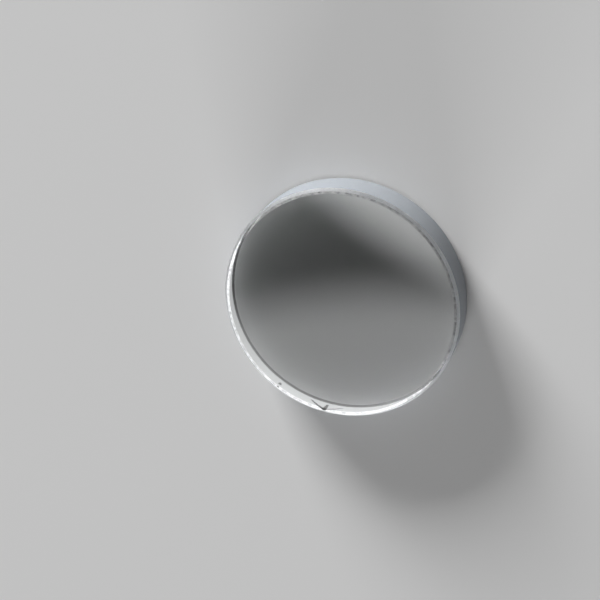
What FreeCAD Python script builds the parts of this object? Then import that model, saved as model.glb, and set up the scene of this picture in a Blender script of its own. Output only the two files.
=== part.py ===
import FreeCAD, Part
import os

# A half mirror: one round plate of optical glass, ground on its rim and bevels, polished
# on both faces, with a half-reflecting coat on the middle of the front face.
# Millimetres. The plate lies on its back face. The origin is the middle of that face, and
# +Z runs along the plate's axis, out of the coated front.

plate_diameter = 50.0
plate_thickness = 8.0
front_bevel = 0.5       # leg of the 45 degree bevel round the coated face
back_bevel = 0.5        # leg of the 45 degree bevel round the back face
bare_margin = 0.5       # uncoated ring that the coating holder leaves inside the front bevel

plate_radius = plate_diameter / 2
back_face_radius = plate_radius - back_bevel
front_face_radius = plate_radius - front_bevel
coat_radius = front_face_radius - bare_margin
rim_low = back_bevel
rim_high = plate_thickness - front_bevel

plate_axis = FreeCAD.Vector(0, 0, 1)
origin = FreeCAD.Vector(0, 0, 0)


def section_point(radius, height):
    """A point of the plate's half section, which lies in the XZ plane."""
    return FreeCAD.Vector(radius, 0, height)


def half_section():
    """Half of the plate's section, from the axis along the back face and round to the front.

    The front face is two edges in one line, so that the coated disc and the bare ring
    about it come out as two faces of the solid. The coat itself has no thickness here.
    """
    corners = [
        origin,
        section_point(back_face_radius, 0),
        section_point(plate_radius, rim_low),
        section_point(plate_radius, rim_high),
        section_point(front_face_radius, plate_thickness),
        section_point(coat_radius, plate_thickness),
        section_point(0, plate_thickness),
        origin,
    ]
    return Part.Face(Part.makePolygon(corners))


def glass_plate():
    """The whole plate, as the half section turned once about the axis."""
    return half_section().revolve(origin, plate_axis, 360)


os.makedirs("parts", exist_ok=True)
plate = glass_plate()
plate.exportStep("parts/glass_plate.step")
print("glass_plate:", len(plate.Faces), "faces,", round(plate.Volume, 1), "mm3,", "valid", plate.isValid())
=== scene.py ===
import math

import bmesh
import bpy
from mathutils import Matrix, Vector


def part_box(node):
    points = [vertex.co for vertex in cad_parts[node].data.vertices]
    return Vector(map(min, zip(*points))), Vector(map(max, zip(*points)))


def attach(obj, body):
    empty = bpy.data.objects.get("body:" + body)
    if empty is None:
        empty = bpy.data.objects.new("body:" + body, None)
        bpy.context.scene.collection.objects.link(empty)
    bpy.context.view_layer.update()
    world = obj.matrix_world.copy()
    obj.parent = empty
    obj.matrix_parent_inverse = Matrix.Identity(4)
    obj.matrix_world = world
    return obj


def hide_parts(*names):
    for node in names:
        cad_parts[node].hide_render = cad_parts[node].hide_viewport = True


# A round half mirror: a thick glass plate with a ground rim, ground bevels and a
# half-reflecting front. It lies on its back face on a pale floor, and the camera looks down
# on it. Lengths are in metres.

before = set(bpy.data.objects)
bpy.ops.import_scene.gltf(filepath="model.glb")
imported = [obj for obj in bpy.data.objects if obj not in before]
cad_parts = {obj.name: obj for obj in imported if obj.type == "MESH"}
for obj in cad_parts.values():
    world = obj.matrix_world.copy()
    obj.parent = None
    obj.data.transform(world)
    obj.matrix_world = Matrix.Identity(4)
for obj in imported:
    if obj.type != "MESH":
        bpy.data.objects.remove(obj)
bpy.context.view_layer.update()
scene = bpy.context.scene
low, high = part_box("glass_plate")
plateRadius = (high.x - low.x) / 2
print("frame loaded:", sorted(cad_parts))


# Camera. The picture is 600 pixels square, and the plate's front face is placed in it by the
# pixel of its middle and its radius in pixels. The camera leans from the plate's axis by
# "lean", and it is rolled so that the outside of the rim shows towards "rimShows". That angle
# and every other picture angle is in degrees, anticlockwise from the picture's right.
cameraView = {
    "picture": 600,
    "sensorWidth": 36.0,
    "lens": 96.0,
    "middle": (339.5, 305.6),
    "radius": 122.0,
    "lean": 26.96,
    "rimShows": 52.56,
    "clipStart": 0.01,
}


def makeCamera(view):
    focal = view["lens"] / view["sensorWidth"] * view["picture"]
    depth = focal / view["radius"] * plateRadius
    across = (view["middle"][0] - view["picture"] / 2) * depth / focal
    down = (view["middle"][1] - view["picture"] / 2) * depth / focal
    front = Vector((across, -down, -depth))
    toCamera = -front.normalized()
    right = Vector((1, 0, 0))
    right = (right - toCamera * right.dot(toCamera)).normalized()
    up = toCamera.cross(right)
    shows = math.radians(view["rimShows"])
    lean = math.radians(view["lean"])
    towardsRim = math.cos(shows) * right + math.sin(shows) * up
    plateZ = math.cos(lean) * toCamera - math.sin(lean) * towardsRim
    plateY = (plateZ * toCamera.dot(plateZ) - toCamera).normalized()
    plateX = plateY.cross(plateZ)
    turn = Matrix((plateX, plateY, plateZ))
    camera = bpy.data.objects.new("camera", bpy.data.cameras.new("camera"))
    camera.data.sensor_width = view["sensorWidth"]
    camera.data.lens = view["lens"]
    camera.data.clip_start = view["clipStart"]
    place = Vector((0, 0, high.z)) - turn @ front
    camera.matrix_world = Matrix.Translation(place) @ turn.to_4x4()
    scene.collection.objects.link(camera)
    scene.camera = camera
    return place


cameraPlace = makeCamera(cameraView)
print("camera at", [round(v, 4) for v in cameraPlace])


# Turns a picture angle into the plate's own angle about its axis, in radians.
def plateAngle(pictureAngle):
    return math.radians(pictureAngle - cameraView["rimShows"] - 90)


# The direction at a picture angle and an elevation above the floor, both in degrees.
def direction(pictureAngle, elevation):
    turn = plateAngle(pictureAngle)
    rise = math.radians(elevation)
    level = math.cos(rise)
    return Vector((math.cos(turn) * level, math.sin(turn) * level, math.sin(rise)))


# The direction that the front face mirrors to the camera at a spot, which is given by its
# picture angle and by its distance from the middle in plate radii.
def mirrored(pictureAngle, radii):
    turn = plateAngle(pictureAngle)
    reach = radii * plateRadius
    spot = Vector((reach * math.cos(turn), reach * math.sin(turn), high.z))
    ray = spot - cameraPlace
    ray.z = -ray.z
    return ray.normalized()


# Shader helpers.
def addNode(tree, kind, **settings):
    node = tree.nodes.new(kind)
    for name, value in settings.items():
        setattr(node, name, value)
    return node


def feed(tree, socket, value):
    if isinstance(value, bpy.types.NodeSocket):
        tree.links.new(value, socket)
    elif value is not None:
        socket.default_value = value


def calculate(tree, operation, first, second=None, third=None):
    node = addNode(tree, "ShaderNodeMath", operation=operation)
    for socket, value in zip(node.inputs, (first, second, third)):
        feed(tree, socket, value)
    return node.outputs[0]


def calculateVector(tree, operation, first, second=None, scale=None):
    node = addNode(tree, "ShaderNodeVectorMath", operation=operation)
    feed(tree, node.inputs[0], first)
    feed(tree, node.inputs[1], second)
    feed(tree, node.inputs[3], scale)
    givesNumber = operation in ("DOT_PRODUCT", "LENGTH")
    return node.outputs[1 if givesNumber else 0]


def smoothStep(tree, value, start, end):
    node = addNode(tree, "ShaderNodeMapRange", interpolation_type="SMOOTHSTEP")
    feed(tree, node.inputs["Value"], value)
    feed(tree, node.inputs["From Min"], start)
    feed(tree, node.inputs["From Max"], end)
    return node.outputs["Result"]


def blend(tree, amount, first, second):
    node = addNode(tree, "ShaderNodeMix", data_type="RGBA")
    feed(tree, node.inputs[0], amount)
    feed(tree, node.inputs[6], first)
    feed(tree, node.inputs[7], second)
    return node.outputs[2]


def noise(tree, vector, scale, detail):
    node = addNode(tree, "ShaderNodeTexNoise")
    feed(tree, node.inputs["Vector"], vector)
    node.inputs["Scale"].default_value = scale
    node.inputs["Detail"].default_value = detail
    return node.outputs["Fac"]


def newGroup(name, inputs, outputs):
    group = bpy.data.node_groups.new(name, "ShaderNodeTree")
    for label, kind in inputs.items():
        group.interface.new_socket(label, in_out="INPUT", socket_type=kind)
    for label, kind in outputs.items():
        group.interface.new_socket(label, in_out="OUTPUT", socket_type=kind)
    given = group.nodes.new("NodeGroupInput").outputs
    result = group.nodes.new("NodeGroupOutput").inputs
    return group, given, result


def useGroup(tree, group, values):
    node = addNode(tree, "ShaderNodeGroup", node_tree=group)
    for label, value in values.items():
        feed(tree, node.inputs[label], value)
    return node.outputs


floatKind = "NodeSocketFloat"
vectorKind = "NodeSocketVector"
colourKind = "NodeSocketColor"


# The grain of a ground surface: fine pits, and fainter lines that run round the plate as the
# grinding wheel left them. The scales are in features per metre.
grindSettings = {
    "pits": 5200.0,
    "pitDetail": 2.0,
    "lines": (300.0, 300.0, 5200.0),
    "lineDetail": 1.0,
    "bump": 0.6,
}


def makeGrindGrain(settings):
    group, given, result = newGroup("grindGrain", {"Lines": floatKind, "Depth": floatKind},
                                    {"Shade": floatKind, "Normal": vectorKind})
    place = addNode(group, "ShaderNodeTexCoord").outputs["Object"]
    pits = noise(group, place, settings["pits"], settings["pitDetail"])
    stretched = calculateVector(group, "MULTIPLY", place, settings["lines"])
    lines = noise(group, stretched, 1.0, settings["lineDetail"])
    apart = calculate(group, "SUBTRACT", lines, pits)
    shade = calculate(group, "MULTIPLY_ADD", apart, given["Lines"], pits)
    group.links.new(shade, result["Shade"])
    bump = addNode(group, "ShaderNodeBump")
    bump.inputs["Strength"].default_value = settings["bump"]
    feed(group, bump.inputs["Distance"], given["Depth"])
    feed(group, bump.inputs["Height"], shade)
    group.links.new(bump.outputs["Normal"], result["Normal"])
    return group


# A polished face is never quite even: its clearness drifts a little from place to place. Made
# strong and fine, the same drift lays dark dashes on the bare margin, which are painted shade
# in place of dark surroundings seen through it.
driftSettings = {"detail": 2.0, "range": (0.35, 0.65)}


def makeDriftAndPaintedDashes(settings):
    group, given, result = newGroup("driftAndPaintedDashes", {"Clear": colourKind, "Dull": colourKind,
                                                   "Scale": floatKind}, {"Color": colourKind})
    place = addNode(group, "ShaderNodeTexCoord").outputs["Object"]
    spread = calculateVector(group, "SCALE", place, scale=given["Scale"])
    drift = noise(group, spread, 1.0, settings["detail"])
    cloud = smoothStep(group, drift, *settings["range"])
    group.links.new(blend(group, cloud, given["Clear"], given["Dull"]), result["Color"])
    return group


# One pencil stroke on the rim, which thins towards its end. Its ends and width are in metres,
# along the rim and up it. "edge" is where the stroke fades, in half widths from its middle.
strokeSettings = {"thinning": 0.45, "edge": (1.25, 0.75)}


def makePencilStroke(settings):
    group, given, result = newGroup("pencilStroke", {"Place": vectorKind, "Start": vectorKind,
                                                     "End": vectorKind, "Half Width": floatKind},
                                    {"Mask": floatKind})
    along = calculateVector(group, "SUBTRACT", given["End"], given["Start"])
    away = calculateVector(group, "SUBTRACT", given["Place"], given["Start"])
    share = calculate(group, "DIVIDE", calculateVector(group, "DOT_PRODUCT", away, along),
                      calculateVector(group, "DOT_PRODUCT", along, along))
    share = calculate(group, "MINIMUM", calculate(group, "MAXIMUM", share, 0.0), 1.0)
    nearest = calculateVector(group, "SCALE", along, scale=share)
    distance = calculateVector(group, "LENGTH", calculateVector(group, "SUBTRACT", away, nearest))
    thinned = calculate(group, "MULTIPLY_ADD", share, -settings["thinning"], 1.0)
    width = calculate(group, "MULTIPLY", given["Half Width"], thinned)
    inside = smoothStep(group, calculate(group, "DIVIDE", distance, width), *settings["edge"])
    group.links.new(inside, result["Mask"])
    return group


grindGrain = makeGrindGrain(grindSettings)
driftAndPaintedDashes = makeDriftAndPaintedDashes(driftSettings)
pencilStroke = makePencilStroke(strokeSettings)


def newMaterial(name):
    material = bpy.data.materials.new(name)
    material.use_nodes = True
    tree = material.node_tree
    return material, tree, tree.nodes["Principled BSDF"]


glassIor = 1.517


def polishedGlass(name, finish):
    material, tree, shader = newMaterial(name)
    drift = useGroup(tree, driftAndPaintedDashes, {"Clear": (*finish["clear"], 1),
                                        "Dull": (*finish["dull"], 1), "Scale": finish["scale"]})
    tree.links.new(drift["Color"], shader.inputs["Base Color"])
    shader.inputs["Metallic"].default_value = finish["metallic"]
    shader.inputs["Roughness"].default_value = finish["roughness"]
    shader.inputs["IOR"].default_value = glassIor
    shader.inputs["Transmission Weight"].default_value = 1.0
    return material


# Where the grain's shade runs from dark to light.
grainRange = (0.3, 0.7)


# Ground glass lets light through as a wide haze, and part of the haze has lost all direction.
# A finish also holds the levels of its two colours where the surface is seen from outside the
# glass; from inside both are at 1. These levels are painted shade: one ground surface is made
# darker seen from outside and brighter seen from inside.
def groundGlass(name, finish, strokes=()):
    material, tree, shader = newMaterial(name)
    grain = useGroup(tree, grindGrain, {"Lines": finish["lines"], "Depth": finish["depth"]})
    body = Vector(finish["colour"])
    haze = Vector(finish["hazeColour"])
    spread = finish["spread"]
    bodyPaintedShade, hazePaintedShade = finish["paintedOutsideShade"]
    shade = smoothStep(tree, grain["Shade"], *grainRange)
    inside = addNode(tree, "ShaderNodeNewGeometry").outputs["Backfacing"]
    level = calculate(tree, "MULTIPLY_ADD", shade, 2 * spread, 1 - spread)
    # Painted shade: both colours are dimmed where the surface is seen from outside.
    bodyShadeLevel = calculate(tree, "MULTIPLY_ADD", inside, 1 - bodyPaintedShade, bodyPaintedShade)
    hazeShadeLevel = calculate(tree, "MULTIPLY_ADD", inside, 1 - hazePaintedShade, hazePaintedShade)
    bodyShare = calculate(tree, "MULTIPLY", level, bodyShadeLevel)
    hazeShare = calculate(tree, "MULTIPLY", level, hazeShadeLevel)
    colour = calculateVector(tree, "SCALE", body, scale=bodyShare)
    hazeColour = calculateVector(tree, "SCALE", haze, scale=hazeShare)
    if strokes:
        valleys = pencilGrain["valleys"]
        peaks = smoothStep(tree, grain["Shade"], *pencilGrain["range"])
        cover = calculate(tree, "MULTIPLY_ADD", peaks, 1 - valleys, valleys)
        mark = calculate(tree, "MULTIPLY", pencilMark(tree, strokes), cover)
        colour = blend(tree, mark, colour, (*graphite, 1))
        hazeColour = blend(tree, mark, hazeColour, (*graphite, 1))
    feed(tree, shader.inputs["Base Color"], colour)
    feed(tree, shader.inputs["Normal"], grain["Normal"])
    shader.inputs["Roughness"].default_value = finish["roughness"]
    shader.inputs["IOR"].default_value = glassIor
    shader.inputs["Transmission Weight"].default_value = finish["through"]
    scatter = addNode(tree, "ShaderNodeBsdfTranslucent")
    feed(tree, scatter.inputs["Color"], hazeColour)
    mix = addNode(tree, "ShaderNodeMixShader")
    mix.inputs["Fac"].default_value = finish["haze"]
    tree.links.new(shader.outputs[0], mix.inputs[1])
    tree.links.new(scatter.outputs[0], mix.inputs[2])
    tree.links.new(mix.outputs[0], tree.nodes["Material Output"].inputs["Surface"])
    return material


# The rim carries a small pencil tick with a long tail, as a glassworker puts on a ground rim,
# and two dots. Stroke ends are (angle about the axis in degrees, height in metres). Pencil
# covers the peaks of the grain fully, and its valleys by the share given.
graphite = (0.0, 0.0, 0.0)
pencilGrain = {"range": (0.3, 0.5), "valleys": 0.7}
pencilStrokes = [
    {"start": (115.5, 0.0058), "end": (107.7, 0.0021), "halfWidth": 0.00046, "strength": 1.0},
    {"start": (115.5, 0.0058), "end": (115.8, 0.0020), "halfWidth": 0.0005, "strength": 1.0},
    {"start": (116.6, 0.0052), "end": (123.6, 0.0021), "halfWidth": 0.00035, "strength": 0.7},
    {"start": (90.2, 0.0057), "end": (90.2, 0.0054), "halfWidth": 0.00034, "strength": 1.0},
    {"start": (90.2, 0.0035), "end": (90.2, 0.0026), "halfWidth": 0.00041, "strength": 1.0},
]


def pencilMark(tree, strokes):
    place = addNode(tree, "ShaderNodeSeparateXYZ")
    feed(tree, place.inputs[0], addNode(tree, "ShaderNodeTexCoord").outputs["Object"])
    angle = calculate(tree, "ARCTAN2", place.outputs["Y"], place.outputs["X"])
    unrolled = addNode(tree, "ShaderNodeCombineXYZ")
    feed(tree, unrolled.inputs["X"], calculate(tree, "MULTIPLY", angle, plateRadius))
    feed(tree, unrolled.inputs["Y"], place.outputs["Z"])
    total = 0.0
    for stroke in strokes:
        (startAngle, startHeight), (endAngle, endHeight) = stroke["start"], stroke["end"]
        mask = useGroup(tree, pencilStroke, {
            "Place": unrolled.outputs[0],
            "Start": (math.radians(startAngle) * plateRadius, startHeight, 0),
            "End": (math.radians(endAngle) * plateRadius, endHeight, 0),
            "Half Width": stroke["halfWidth"],
        })["Mask"]
        darkness = calculate(tree, "MULTIPLY", mask, stroke["strength"])
        total = calculate(tree, "MAXIMUM", darkness, total)
    return total


# The glass plate.
plate = {
    "bevel": 0.0005,
    "bareMargin": 0.0005,
    "coatEdge": 0.00008,
    "rimRounding": 0.00006,
    "faceRounding": 0.00003,
    "roundingSteps": 4,
    "segments": 360,
    "faceRings": 12,
    "back": {"clear": (1.0, 1.0, 1.0), "dull": (0.985, 0.99, 0.985), "scale": 70.0,
             "metallic": 0.0, "roughness": 0.0},
    # The bare margin's strong, fine drift to a dark dull colour is painted shade: dark dashes
    # along the margin in place of dark surroundings seen through it.
    "bare": {"clear": (1.0, 1.0, 1.0), "dull": (0.38, 0.38, 0.39), "scale": 1200.0,
             "metallic": 0.0, "roughness": 0.0},
    "coat": {"clear": (0.86, 0.87, 0.87), "dull": (0.84, 0.855, 0.85), "scale": 55.0,
             "metallic": 0.55, "roughness": 0.0},
    "fringe": {"clear": (0.93, 0.93, 0.93), "dull": (0.9, 0.9, 0.9), "scale": 900.0,
               "metallic": 0.22, "roughness": 0.0},
    # In the ground finishes below, the last pair holds the outside levels, which are painted
    # shade.
    "rim": {"colour": (0.49, 0.525, 0.568), "roughness": 0.5, "through": 0.1, "haze": 0.5,
            "hazeColour": (0.9, 0.9, 0.9), "lines": 0.3, "depth": 0.00001, "spread": 0.05,
            "paintedOutsideShade": (0.85, 0.06)},
    "frontBevel": {"colour": (0.9, 0.92, 0.95), "roughness": 0.55, "through": 1.0, "haze": 0.3,
                   "hazeColour": (0.9, 0.92, 0.95), "lines": 0.3, "depth": 0.00001, "spread": 0.25,
                   "paintedOutsideShade": (0.8, 0.6)},
    # The back bevel's near-black colours are painted shade: a dark line where little light reaches
    # the bevel pressed to the floor.
    "backBevel": {"colour": (0.01, 0.01, 0.01), "roughness": 0.7, "through": 0.9, "haze": 0.05,
                  "hazeColour": (0.01, 0.01, 0.01), "lines": 0.3, "depth": 0.00001, "spread": 0.06,
                  "paintedOutsideShade": (1.0, 1.0)},
    "edge": {"colour": (0.6, 0.61, 0.62), "roughness": 0.35, "through": 0.9, "haze": 0.1,
             "hazeColour": (0.93, 0.95, 0.97), "lines": 0.2, "depth": 0.00001, "spread": 0.08,
             "paintedOutsideShade": (1.0, 1.0)},
}


# The section's corners from the middle of the back face round to the middle of the front, as
# (radius, height, rounding, finish of the stretch that follows).
def plateCorners(sizes):
    front = plateRadius - sizes["bevel"]
    coat = front - sizes["bareMargin"]
    byFace, byRim = sizes["faceRounding"], sizes["rimRounding"]
    return [
        (0, low.z, 0, "back"),
        (front, low.z, byFace, "backBevel"),
        (plateRadius, low.z + sizes["bevel"], byRim, "rim"),
        (plateRadius, high.z - sizes["bevel"], byRim, "frontBevel"),
        (front, high.z, byFace, "bare"),
        (coat, high.z, 0, "fringe"),
        (coat - sizes["coatEdge"], high.z, 0, "coat"),
        (0, high.z, 0, None),
    ]


# Rounds each corner that asks for it, and parts the wide faces into rings.
def plateSection(sizes):
    corners = plateCorners(sizes)
    points = [Vector((radius, height)) for radius, height, rounding, finish in corners]
    section = []
    for i, (radius, height, rounding, finish) in enumerate(corners):
        if rounding:
            start = points[i] + (points[i - 1] - points[i]).normalized() * rounding
            end = points[i] + (points[i + 1] - points[i]).normalized() * rounding
            steps = sizes["roundingSteps"]
            for step in range(steps):
                share = step / steps
                before, after = start * (1 - share) ** 2, end * share ** 2
                spot = before + points[i] * 2 * share * (1 - share) + after
                section.append((spot.x, spot.y, "edge"))
            section.append((end.x, end.y, finish))
        else:
            section.append((radius, height, finish))
        if finish in ("back", "coat"):
            begin, finishPoint = points[i], points[i + 1]
            for ring in range(1, sizes["faceRings"]):
                spot = begin.lerp(finishPoint, ring / sizes["faceRings"])
                section.append((spot.x, spot.y, finish))
    return section


def ringOfPoints(shape, radius, height, segments):
    if radius == 0:
        return [shape.verts.new((0, 0, height))]
    turns = [2 * math.pi * i / segments for i in range(segments)]
    spots = [(radius * math.cos(turn), radius * math.sin(turn), height) for turn in turns]
    return [shape.verts.new(spot) for spot in spots]


def joinRings(shape, first, second, segments, slot):
    for i in range(segments):
        j = (i + 1) % segments
        corners = [first[i % len(first)], first[j % len(first)],
                   second[j % len(second)], second[i % len(second)]]
        face = shape.faces.new(list(dict.fromkeys(corners)))
        face.smooth = True
        face.material_index = slot


# Turns the section about the plate's axis. Edges where two finishes meet stay sharp.
def makePlate(name, sizes, finishes):
    shape = bmesh.new()
    section = plateSection(sizes)
    segments = sizes["segments"]
    rings = [ringOfPoints(shape, radius, height, segments) for radius, height, finish in section]
    slots = list(finishes)
    for (radius, height, finish), first, second in zip(section, rings, rings[1:]):
        joinRings(shape, first, second, segments, slots.index(finish))
    for edge in shape.edges:
        if len({face.material_index for face in edge.link_faces}) > 1:
            edge.smooth = False
    mesh = bpy.data.meshes.new(name)
    shape.to_mesh(mesh)
    shape.free()
    for finish in slots:
        mesh.materials.append(finishes[finish])
    piece = bpy.data.objects.new(name, mesh)
    scene.collection.objects.link(piece)
    return piece


finishes = {
    "back": polishedGlass("backFinish", plate["back"]),
    "backBevel": groundGlass("backBevelPaintedShade", plate["backBevel"]),
    "rim": groundGlass("rimFinishAndPaintedShade", plate["rim"], pencilStrokes),
    "frontBevel": groundGlass("frontBevelFinishAndPaintedShade", plate["frontBevel"]),
    "edge": groundGlass("edgeFinish", plate["edge"]),
    "bare": polishedGlass("bareMarginPaintedDashes", plate["bare"]),
    "fringe": polishedGlass("fringeFinish", plate["fringe"]),
    "coat": polishedGlass("coatFinish", plate["coat"]),
}
glassPlate = makePlate("glassPlate", plate, finishes)
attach(glassPlate, "root")
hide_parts("glass_plate")
print("plate made:", len(glassPlate.data.polygons), "faces")


# The floor. Its top is a hair under the back face, which leaves the thin film of air that lies
# under a real plate. Far away it fades into the room, over the stretch that "fade" gives.
floorSettings = {
    "half": 6.0,
    "height": -0.00003,
    "colour": (0.6, 0.6, 0.6),
    "roughness": 0.9,
    "fade": (0.2, 0.6),
}


def makeFloor(settings):
    half, height = settings["half"], settings["height"]
    corners = [(-half, -half, height), (half, -half, height),
               (half, half, height), (-half, half, height)]
    mesh = bpy.data.meshes.new("floor")
    mesh.from_pydata(corners, [], [(0, 1, 2, 3)])
    floor = bpy.data.objects.new("floor", mesh)
    scene.collection.objects.link(floor)
    material, tree, shader = newMaterial("floorFinish")
    shader.inputs["Base Color"].default_value = (*settings["colour"], 1)
    shader.inputs["Roughness"].default_value = settings["roughness"]
    shader.inputs["Specular IOR Level"].default_value = 0.0
    away = calculateVector(tree, "LENGTH", addNode(tree, "ShaderNodeTexCoord").outputs["Object"])
    mix = addNode(tree, "ShaderNodeMixShader")
    feed(tree, mix.inputs["Fac"], smoothStep(tree, away, *settings["fade"]))
    tree.links.new(shader.outputs[0], mix.inputs[1])
    tree.links.new(addNode(tree, "ShaderNodeBsdfTransparent").outputs[0], mix.inputs[2])
    tree.links.new(mix.outputs[0], tree.nodes["Material Output"].inputs["Surface"])
    mesh.materials.append(material)


makeFloor(floorSettings)
print("floor made")


# Lamps, each aimed at the plate from (picture angle, elevation).
lamps = {
    "keyLamp": {"towards": (117, 10.5), "distance": 4.0,
                "wide": 1.6, "high": 1.0, "power": 410.0},
    "frontStrip": {"towards": (260, 4.5), "distance": 3.2,
                   "wide": 2.0, "high": 0.32, "power": 235.0},
    "sideStrip": {"towards": (125, 6), "distance": 3.2,
                  "wide": 1.0, "high": 0.32, "power": 24.0},
}


def makeLamp(name, settings):
    lamp = bpy.data.lights.new(name, "AREA")
    lamp.shape = "RECTANGLE"
    lamp.size = settings["wide"]
    lamp.size_y = settings["high"]
    lamp.energy = settings["power"]
    lampObject = bpy.data.objects.new(name, lamp)
    aim = direction(*settings["towards"])
    lampObject.location = aim * settings["distance"]
    lampObject.rotation_mode = "QUATERNION"
    lampObject.rotation_quaternion = aim.to_track_quat("Z", "Y")
    lampObject.visible_camera = False
    scene.collection.objects.link(lampObject)


for lampName, lampSettings in lamps.items():
    makeLamp(lampName, lampSettings)
print("lamps made:", len(lamps))


# The room: an even ceiling over pale walls, with a dim stretch where the front face mirrors it
# to the camera, and soft glows beside that. "spot" is where in the face's plane a patch is
# mirrored, as (picture angle, plate radii), and inner and outer are its reach in degrees.
room = {
    "ceiling": 0.16,
    "dim": {"spot": (232, 0.0), "inner": 9.0, "outer": 26.0, "level": 0.95},
    "glows": [
        {"spot": (56, 4.5), "inner": 16.0, "outer": 18.0, "level": 0.53},
        {"spot": (273, 4.8), "inner": 16.0, "outer": 18.6, "level": 0.34},
    ],
    "walls": {"level": 0.6, "top": 8.0, "fade": 18.0},
}


def makeSoftPatch():
    group, given, result = newGroup("softPatch", {"Direction": vectorKind, "Centre": vectorKind,
                                                  "Inner": floatKind, "Outer": floatKind,
                                                  "Level": floatKind}, {"Value": floatKind})
    nearness = calculateVector(group, "DOT_PRODUCT", given["Direction"], given["Centre"])
    inside = smoothStep(group, nearness, given["Outer"], given["Inner"])
    group.links.new(calculate(group, "MULTIPLY", inside, given["Level"]), result["Value"])
    return group


def makeRoom(settings):
    world = bpy.data.worlds.new("room")
    scene.world = world
    world.use_nodes = True
    tree = world.node_tree
    softPatch = makeSoftPatch()
    towards = addNode(tree, "ShaderNodeTexCoord").outputs["Generated"]

    def patch(values):
        return useGroup(tree, softPatch, {
            "Direction": towards,
            "Centre": mirrored(*values["spot"]),
            "Inner": math.cos(math.radians(values["inner"])),
            "Outer": math.cos(math.radians(values["outer"])),
            "Level": values["level"],
        })["Value"]

    undimmed = calculate(tree, "SUBTRACT", 1.0, patch(settings["dim"]))
    level = calculate(tree, "MULTIPLY", undimmed, settings["ceiling"])
    for glow in settings["glows"]:
        level = calculate(tree, "ADD", level, patch(glow))
    walls = settings["walls"]
    parts = addNode(tree, "ShaderNodeSeparateXYZ")
    feed(tree, parts.inputs[0], towards)
    atWall = smoothStep(tree, parts.outputs["Z"], math.sin(math.radians(walls["fade"])),
                        math.sin(math.radians(walls["top"])))
    lack = calculate(tree, "SUBTRACT", walls["level"], level)
    lift = calculate(tree, "MULTIPLY", atWall, lack)
    background = tree.nodes["Background"]
    tree.links.new(calculate(tree, "ADD", level, lift), background.inputs["Color"])
    background.inputs["Strength"].default_value = 1.0


makeRoom(room)
print("room made")

scene.view_settings.view_transform = "Standard"

# Light crosses the plate's surfaces many times before it comes out, so its paths are long.
scene.cycles.max_bounces = 24
scene.cycles.transmission_bounces = 24
scene.cycles.glossy_bounces = 12
scene.cycles.blur_glossy = 0.1
scene.cycles.sample_clamp_indirect = 0.0
